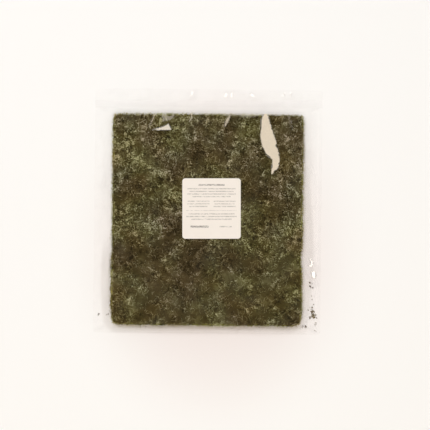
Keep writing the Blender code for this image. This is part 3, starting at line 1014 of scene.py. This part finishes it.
# Where the felt changes, in millimetres: middle, half sizes, lighter (+) or darker (-), greener (+) or
# browner (-), yellower (+) or greyer (-)
FELT_PATCHES = (
    ((-78, 62), (24, 50), 0.08, 0.02, 0.02),
    ((-40, 64), (26, 16), 0.03, 0.0, 0.05),
    ((-64, 50), (7, 14), 0.0, 0.08, 0.0),
    ((-13, 55), (12, 20), -0.05, 0.0, -0.02),
    ((44, 72), (18, 14), 0.05, 0.0, 0.0),
    ((70, 82), (9, 10), 0.02, 0.08, -0.02),
    ((80, 62), (22, 36), 0.14, -0.01, 0.0),
    ((66, 25), (9, 8), 0.02, -0.08, 0.03),
    ((-56, 5), (13, 9), -0.04, 0.02, -0.08),
    ((-52, -11), (10, 8), 0.05, 0.14, 0.08),
    ((-68, -24), (32, 10), 0.06, 0.04, 0.10),
    ((-72, -42), (30, 7), -0.10, 0.04, -0.07),
    ((-25, -31), (9, 12), -0.01, 0.08, -0.05),
    ((-25, 21), (10, 8), 0.0, 0.0, -0.08),
    ((36, 14), (14, 16), -0.09, -0.03, -0.10),
    ((54, -12), (16, 14), -0.07, 0.0, 0.0),
    ((4, -48), (44, 26), -0.11, -0.03, -0.06),
    ((90, -26), (12, 16), 0.03, -0.14, 0.04),
    ((82, -14), (16, 10), 0.05, 0.0, 0.08),
    ((65, -56), (7, 8), 0.0, 0.08, 0.0),
    ((77, -88), (8, 7), 0.0, 0.07, 0.0),
    ((88, -101), (14, 8), -0.08, 0.04, -0.06),
    ((-54, -72), (28, 24), 0.0, -0.07, 0.02),
    ((-58, -103), (28, 8), 0.03, -0.04, 0.07),
    ((35, -100), (12, 8), 0.05, -0.03, 0.02),
    ((-95, -10), (7, 95), 0.06, 0.02, 0.08),
    ((96, -20), (5, 80), 0.05, -0.05, 0.03),
    ((0, 92), (95, 8), 0.05, 0.02, -0.02),
)
PATCH_PLATEAU = 1.5  # over 1, so that the middle of a patch is even
PATCH_WARP = 3  # how far the patches are pushed about
PATCH_WARP_WAVE = 22
PATCH_WARP_SEEDS = (71, 72)

# A lighter, yellower band along the sheet's edges: how wide it is in millimetres, and how it changes the felt
RIM_WIDTH = 3.5
RIM_CHANGES = (0.14, 0.0, 0.03)

# The felt is rougher above this line than below it: where it runs, how wide the change is, and how large
CALM_LINE = -38
CALM_EASE = 14
ROUGHER_ABOVE = 0.06
CALMER_BELOW = 0.26


def give_tone(piece):
    """Writes how light, green, yellow and rough each point of a piece is, from where it lies."""
    x, y, _ = points_of(piece).T / MM
    push_x, push_y = (wavelets(x, y, PATCH_WARP_WAVE, seed, count=10) for seed in PATCH_WARP_SEEDS)
    warped_x, warped_y = x + PATCH_WARP * push_x, y + PATCH_WARP * push_y
    rim = smooth(1 + outside_stack(x * MM, y * MM) / (RIM_WIDTH * MM))
    tones = {name: change * rim for name, change in zip(("lighter", "greener", "yellower"), RIM_CHANGES)}
    for (mid_x, mid_y), (half_x, half_y), *changes in FELT_PATCHES:
        from_middle = np.hypot((warped_x - mid_x) / half_x, (warped_y - mid_y) / half_y)
        inside = smooth(PATCH_PLATEAU * (1 - from_middle))
        for name, change in zip(tones, changes):
            tones[name] += change * inside
    calm = smooth((CALM_LINE - warped_y) / CALM_EASE)
    tones["rougher"] = ROUGHER_ABOVE - (ROUGHER_ABOVE + CALMER_BELOW) * calm
    write_values(piece, tones)


# ---------------------------------------------------------------------------------------- strands and crumbs

STRAND_CUTS = 4
STRAND_TAPER = 1.9  # how far a strand narrows towards its ends; 2 would bring them to a point
STRAND_FLATNESS = 0.55
STRAND_LIFT = 0.05 * MM  # how far its middle arches up
STRAND_GAP = 0.02 * MM  # how far above the felt it lies
STRAND_INSET = 2.0 * MM  # how far in from the sheet's edge the loose strands lie
STRAIGHT = 1e-6  # a curve smaller than this counts as none


def strand_pattern():
    """One straight strand, as points and faces: a cylinder primitive of unit length and width, along X."""
    bpy.ops.object.select_all(action="DESELECT")
    bpy.ops.mesh.primitive_cylinder_add(vertices=3, radius=0.5, depth=1, rotation=(0, math.pi / 2, 0))
    pattern = named("strand_pattern")
    bpy.ops.object.transform_apply(location=False, rotation=True, scale=False)
    # edges are picked on their own, so that only the long ones are cut
    bpy.context.tool_settings.mesh_select_mode = (False, True, False)
    bpy.ops.object.mode_set(mode="EDIT")
    bpy.ops.mesh.select_all(action="DESELECT")
    bpy.ops.object.mode_set(mode="OBJECT")
    for edge in pattern.data.edges:
        first, second = (pattern.data.vertices[i].co.x for i in edge.vertices)
        edge.select = abs(first - second) > 0.5
    bpy.ops.object.mode_set(mode="EDIT")
    bpy.ops.mesh.subdivide(number_cuts=STRAND_CUTS)
    bpy.ops.object.mode_set(mode="OBJECT")
    return take_apart(pattern)


def joined_copies(name, points, faces):
    """One mesh from many copies of a pattern: points is copies by points by 3."""
    copies, per_copy, _ = points.shape
    mesh = bpy.data.meshes.new(name)
    every_face = [tuple(i + copy * per_copy for i in face) for copy in range(copies) for face in faces]
    mesh.from_pydata(points.reshape(-1, 3).tolist(), [], every_face)
    made = bpy.data.objects.new(name, mesh)
    bpy.context.scene.collection.objects.link(made)
    select_only(made)
    bpy.ops.object.shade_smooth()
    return made


def bent_strands(pattern, x, y, height, heading, length, width, bend, lift):
    """Copies of the strand pattern, each bent into an arc and laid flat. The places and sizes are arrays."""
    along, across, up = pattern.T
    taper = np.sqrt(1 - (STRAND_TAPER * along) ** 2)
    run = along[None, :] * length[:, None]
    curve = bend[:, None]
    turn = curve * run
    centre_x = np.where(np.abs(curve) > STRAIGHT, np.sin(turn) / curve, run)
    centre_y = np.where(np.abs(curve) > STRAIGHT, (1 - np.cos(turn)) / curve, 0)
    out = across[None, :] * (width[:, None] * taper[None, :])
    laid_x, laid_y = turned(centre_x - out * np.sin(turn), centre_y + out * np.cos(turn), heading[:, None])
    points_z = height[:, None] + up[None, :] * (STRAND_FLATNESS * width[:, None] * taper[None, :])
    points_z = points_z + lift * np.cos(math.pi * along)[None, :]
    return np.stack((x[:, None] + laid_x, y[:, None] + laid_y, points_z), axis=2)


# Strands on the top sheet: count, length and width in millimetres, and the seed
STRAND_KINDS = {
    "olive_strands": (3000, (2.5, 6.5), (0.35, 0.7), 21),
    "pale_strands": (1900, (2.0, 5.5), (0.28, 0.55), 22),
}
STRAND_BEND = 0.22  # spread of their curvature, in radians a millimetre
TUFT_STRAND_LENGTH = (3.0, 9.0)

# Tufts of pale strands, in millimetres: middle, spread, heading in degrees with its spread, and count
TUFTS = (
    ((59.5, -12), (1.6, 4.5), 88, 12, 10),
    ((68.5, -15), (1.6, 5.5), 92, 12, 14),
    ((81, -14), (2.4, 8.0), 97, 14, 26),
    ((90, -8), (1.8, 9.0), 95, 12, 16),
    ((31, -103), (1.5, 4.5), 80, 25, 9),
    ((40, -100), (2.6, 4.5), 122, 28, 12),
    ((11, -87), (5.0, 3.0), 150, 40, 10),
    ((-16, 9), (2.2, 5.0), 105, 30, 10),
    ((-36, -10), (2.5, 7.0), 110, 25, 12),
    ((-33, 54), (1.6, 5.5), 82, 18, 10),
    ((28, 54), (1.8, 6.0), 100, 20, 9),
    ((20, 44), (4.0, 4.0), 130, 40, 9),
    ((-33.2, -30.6), (0.3, 0.25), 20, 30, 14),
)


def place_strands(draw, count):
    """Even random places over the top sheet, from the middle of the stack."""
    half_width, half_length = STACK_WIDTH / 2 - STRAND_INSET, STACK_LENGTH / 2 - STRAND_INSET
    x = draw.uniform(-half_width, half_width, count)
    y = draw.uniform(-half_length, half_length, count)
    outside = outside_box(x, y, (0, 0), STACK_WIDTH, STACK_LENGTH, corner_radius(x, y))
    keep = outside < -STRAND_INSET
    return x[keep], y[keep]


def make_top_strands(pattern, faces, materials):
    """Loose strands of laver pressed onto the top sheet, and the paler tufts where they gather."""
    for name, (count, lengths, widths, seed) in STRAND_KINDS.items():
        draw = np.random.default_rng(seed)
        x, y = place_strands(draw, count)
        heading = draw.uniform(0, 2 * math.pi, len(x))
        length = draw.uniform(*lengths, len(x))
        if name == "pale_strands":
            for (mid_x, mid_y), (spread_x, spread_y), turn, turn_spread, number in TUFTS:
                x = np.append(x, draw.normal(mid_x, spread_x, number) * MM - STACK_CENTRE[0])
                y = np.append(y, draw.normal(mid_y, spread_y, number) * MM - STACK_CENTRE[1])
                heading = np.append(heading, np.radians(draw.normal(turn, turn_spread, number)))
                length = np.append(length, draw.uniform(*TUFT_STRAND_LENGTH, number))
        count = len(x)
        laid_x, laid_y = x + STACK_CENTRE[0], y + STACK_CENTRE[1]
        points = bent_strands(
            pattern,
            laid_x,
            laid_y,
            sheet_height(laid_x, laid_y, SHEET_COUNT - 1) + felt_relief(x, y) + STRAND_GAP,
            heading,
            length * MM,
            draw.uniform(*widths, count) * MM,
            draw.normal(0, STRAND_BEND, count) / MM,
            STRAND_LIFT,
        )
        piece = joined_copies(name, points, faces)
        give_tone(piece)
        finish_piece(piece, materials[name], "nori", "bag")


# Strands that stand out of the torn edges: count, length and width in millimetres, how far the heading strays
# from the edge's own run, how far out they reach past the felt, and the seed
EDGE_KINDS = {
    "edge_strands": (2600, (1.2, 3.6), (0.25, 0.5), 0.8, (-0.3, 0.5), 31),
    "fringe_strands": (4400, (1.2, 3.4), (0.18, 0.3), 0.9, (0.2, 2.0), 32),
}
EDGE_STRAND_BEND = 0.3  # as STRAND_BEND


def make_edge_strands(pattern, faces, materials):
    """Short strands that stand out of the sheets' torn edges, and the thin fringe past them, pale with
    painted light shining through.
    """
    outline_x, outline_y = sheet_outline()
    for name, (count, lengths, widths, stray, reach, seed) in EDGE_KINDS.items():
        draw = np.random.default_rng(seed)
        start = draw.integers(0, SHEET_OUTLINE_POINTS, count)
        x, y = outline_x[start], outline_y[start]
        ahead_x = np.roll(outline_x, -1)[start] - x
        ahead_y = np.roll(outline_y, -1)[start] - y
        number = draw.integers(0, SHEET_COUNT, count)
        torn_x, torn_y = x.copy(), y.copy()
        for each in range(SHEET_COUNT):
            moved_x, moved_y = tear_edges(x, y, each)
            torn_x = np.where(number == each, moved_x, torn_x)
            torn_y = np.where(number == each, moved_y, torn_y)
        out = draw.uniform(*reach, count) * MM / np.hypot(ahead_x, ahead_y)
        laid_x = torn_x + ahead_y * out + STACK_CENTRE[0]
        laid_y = torn_y - ahead_x * out + STACK_CENTRE[1]
        points = bent_strands(
            pattern,
            laid_x,
            laid_y,
            sheet_height(laid_x, laid_y, number),
            np.arctan2(ahead_y, ahead_x) + draw.normal(0, stray, count),
            draw.uniform(*lengths, count) * MM,
            draw.uniform(*widths, count) * MM,
            draw.normal(0, EDGE_STRAND_BEND, count) / MM,
            0.0,
        )
        piece = joined_copies(name, points, faces)
        finish_piece(piece, materials[name], "nori", "bag")


# Crumbs, in millimetres: middle, spread, size and count
CRUMB_PILES = (
    ((105.8, -102.5), (1.6, 2.4), (0.5, 1.6), 26),
    ((104.5, -97.0), (1.3, 3.6), (0.5, 1.3), 9),
    ((103.3, -73.9), (1.4, 1.8), (0.5, 1.4), 8),
    ((104.5, -86.0), (1.0, 5.0), (0.4, 1.1), 5),
    ((108.6, -108.0), (0.8, 6.0), (0.5, 1.2), 12),
    ((96.1, -113.9), (1.4, 0.6), (0.6, 1.5), 5),
    ((-109.0, -103.9), (1.0, 1.0), (0.5, 1.2), 4),
    ((-99.0, -103.2), (1.2, 0.8), (0.5, 1.3), 5),
    ((0.0, -116.5), (45.0, 1.2), (0.3, 0.9), 14),
)
CRUMB_SEED = 51
CRUMB_LENGTH = (0.8, 1.6)  # a crumb's length and width, as shares of its size
CRUMB_WIDTH = (0.5, 1.0)
CRUMB_THICKNESS = 0.2
CRUMB_LUMPS = 0.5  # how far its points stand in or out, as a share
CRUMB_HEIGHT = 0.36  # of a crumb's middle above the table


def make_crumbs(material):
    """Flakes of laver that have dropped into the margins between the films."""
    bpy.ops.object.select_all(action="DESELECT")
    bpy.ops.mesh.primitive_ico_sphere_add(subdivisions=2, radius=0.5)
    shape, faces = take_apart(named("crumb_pattern"))
    draw = np.random.default_rng(CRUMB_SEED)
    made = []
    for (mid_x, mid_y), (spread_x, spread_y), sizes, count in CRUMB_PILES:
        for _ in range(count):
            size = draw.uniform(*sizes)
            length = size * draw.uniform(*CRUMB_LENGTH)
            width = size * draw.uniform(*CRUMB_WIDTH)
            lumps = 1 + CRUMB_LUMPS * draw.uniform(-1, 1, (len(shape), 1))
            turn = draw.uniform(0, 2 * math.pi)
            across, along, up = (shape * lumps * np.array((length, width, CRUMB_THICKNESS))).T
            x, y = turned(across, along, turn)
            x = x + draw.normal(mid_x, spread_x)
            y = y + draw.normal(mid_y, spread_y)
            made.append(np.stack((x, y, up + CRUMB_HEIGHT), axis=1) * MM)
    crumbs = joined_copies("nori_crumbs", np.array(made), faces)
    finish_piece(crumbs, material, "nori", "bag")


# -------------------------------------------------------------------------------------------------- the label

def make_label(paper):
    """The label: thin paper stuck flat on the film, its corners round and its face hardly cockled."""
    fine, coarse = 0.5 * MM, 2.5 * MM
    radius = LABEL_CORNER_RADIUS
    columns, rows = (
        grid_lines((-half, fine), (radius - half, coarse), (half - radius, fine), (half, None))
        for half in (LABEL_WIDTH / 2, LABEL_LENGTH / 2)
    )

    def place(x, y):
        cockle = LABEL_COCKLE * wavelets(x, y, LABEL_COCKLE_WAVE, LABEL_SEED, count=8)
        x, y = turned(*round_corners(x, y, LABEL_WIDTH, LABEL_LENGTH, radius), LABEL_TURN)
        return x + LABEL_CENTRE[0], y + LABEL_CENTRE[1], LABEL_LOW.z + LABEL_THICKNESS + cockle

    label = shaped_grid("paper_label", columns, rows, place)
    give_thickness(label, LABEL_THICKNESS)
    finish_piece(label, paper, "label_paper", "label")


# ------------------------------------------------------------------------------------------------ the stage

FLOOR_SIZE = 4.0
FLOOR_DROP = 0.2 * MM
PHOTO_MIDDLE = (7.2 * MM, -3.4 * MM)  # the place on the bag under the middle of the photograph
PHOTO_SPAN = 427 * MM  # what the photograph shows from side to side, at the height of the stack
CAMERA_DISTANCE = 1.0
CAMERA_ROLL = math.radians(0.6)
SENSOR_WIDTH = 36.0

# Soft lamps that face down: middle, width and length in metres, radiance and colour
SOFT_LAMPS = {
    "key": ((-0.8, 2.6, 2.8), (3.6, 2.4), 4.5, "F8FBFF"),
    "fill": ((0.0, -0.9, 1.5), (2.2, 2.2), 1.15, "FFF6EA"),
}
# Windows that face down and that only gloss shows, as patches of light in the film's folds
GLOSS_WINDOWS = {
    "left_window": ((-0.455, 0.03, 1.0), (0.17, 0.26), 0.755, "FFEED5"),
    "right_window": ((0.54, 0.02, 1.0), (0.16, 0.62), 2.4, "FFF8F0"),
    "top_window": ((0.015, 0.737, 1.0), (0.45, 0.24), 0.74, "FFF4E4"),
}
WORLD_ZENITH = (0.10, 0.085, 0.06, 1)
WORLD_HORIZON = (0.88, 0.84, 0.80, 1)
WORLD_RISE = (0.15, 0.75)  # between these heights, as shares of the way up, the walls give way to the ceiling


def make_floor():
    bpy.ops.object.select_all(action="DESELECT")
    bpy.ops.mesh.primitive_grid_add(x_subdivisions=4, y_subdivisions=4, size=FLOOR_SIZE)
    floor = named("paper_floor")
    floor.data.transform(floor.matrix_world)
    for vertex in floor.data.vertices:
        vertex.co.z = -FLOOR_DROP
    floor.data.materials.append(floor_material())


def make_lamps():
    for name, (place, (width, length), radiance, colour) in (SOFT_LAMPS | GLOSS_WINDOWS).items():
        lamp = bpy.data.lights.new(name, "AREA")
        lamp.shape = "RECTANGLE"
        lamp.size = width
        lamp.size_y = length
        lamp.energy = radiance * math.pi * width * length
        lamp.color = linear(colour)[:3]
        holder = bpy.data.objects.new(name, lamp)
        holder.location = place
        holder.visible_diffuse = name in SOFT_LAMPS
        holder.visible_glossy = name in GLOSS_WINDOWS
        bpy.context.scene.collection.objects.link(holder)


def make_world():
    """A studio with pale walls and a dim ceiling."""
    world = bpy.data.worlds.new("studio")
    bpy.context.scene.world = world
    world.use_nodes = True
    tree = world.node_tree
    tree.nodes.clear()
    way = add(tree, "ShaderNodeTexCoord").outputs["Generated"]
    up = add(tree, "ShaderNodeSeparateXYZ", {0: way}).outputs[2]
    colour = blend(tree, remap(tree, up, *WORLD_RISE), WORLD_HORIZON, WORLD_ZENITH)
    glow = add(tree, "ShaderNodeBackground", {"Color": colour, "Strength": 1.0})
    add(tree, "ShaderNodeOutputWorld", {"Surface": glow.outputs[0]})


def make_camera():
    """Straight above the pack, rolled as the photograph is."""
    camera = bpy.data.cameras.new("camera")
    camera.sensor_width = SENSOR_WIDTH
    camera.lens = SENSOR_WIDTH * CAMERA_DISTANCE / PHOTO_SPAN
    camera.clip_start = 0.01
    camera.clip_end = 20
    holder = bpy.data.objects.new("camera", camera)
    holder.location = (*PHOTO_MIDDLE, STACK_TOP + CAMERA_DISTANCE)
    holder.rotation_euler = (0, 0, CAMERA_ROLL)
    bpy.context.scene.collection.objects.link(holder)
    bpy.context.scene.camera = holder


def main():
    film = film_material("clear_polypropylene_film", OUTER_GLOSS, POCKET_GLOSS)
    inner_film = film_material("clear_polypropylene_film_inside", INNER_GLOSS)
    laver = laver_material("dried_laver_face", "251E09", "4B4126", "6D6547", "ABA388")
    # painted light: the lower sheets' edges and the edge strands are lighter and yellower, standing in for
    # light from the white floor shining through the thin felt
    backlit_edge_laver = laver_material("dried_laver_edge_backlit", "332E0A", "6A6430", "8A8448", "B0A76E")
    olive = laver_material("dried_laver_strand", "2E2810", "524A2C", "6E6646", "8E8566", bump=0.1)
    # pale strands of the felt, whose light colour also stands in for glints on its fibres: painted highlights
    pale = laver_material("pale_laver_strand_painted_glint", "665F40", "938A69", "B4AC8E", "D8D1B6", bump=0.1)
    crumb_laver = laver_material("crumbled_laver", "4A3A2A", "6A5744", "86735C", "A08D74", bump=0.1)
    # painted light: the fringe's pale yellow stands in for light from the floor below shining through the
    # thin strands
    fringe = laver_material("thin_laver_fringe_backlit", "A1976A", "BAB083", "CFC79E", "E0DABA", bump=0.1)
    make_front_film(film, inner_film)
    make_back_film(inner_film)
    make_zip(zip_material())
    make_top_sheet(laver)
    make_lower_sheets(backlit_edge_laver)
    pattern, faces = strand_pattern()
    make_top_strands(pattern, faces, {"olive_strands": olive, "pale_strands": pale})
    make_edge_strands(pattern, faces, {"edge_strands": backlit_edge_laver, "fringe_strands": fringe})
    make_crumbs(crumb_laver)
    make_label(label_material())
    make_floor()
    make_lamps()
    make_world()
    make_camera()
    scene = bpy.context.scene
    scene.view_settings.view_transform = "Standard"
    scene.cycles.transparent_max_bounces = 32  # a ray along the film crosses many of its folds


main()
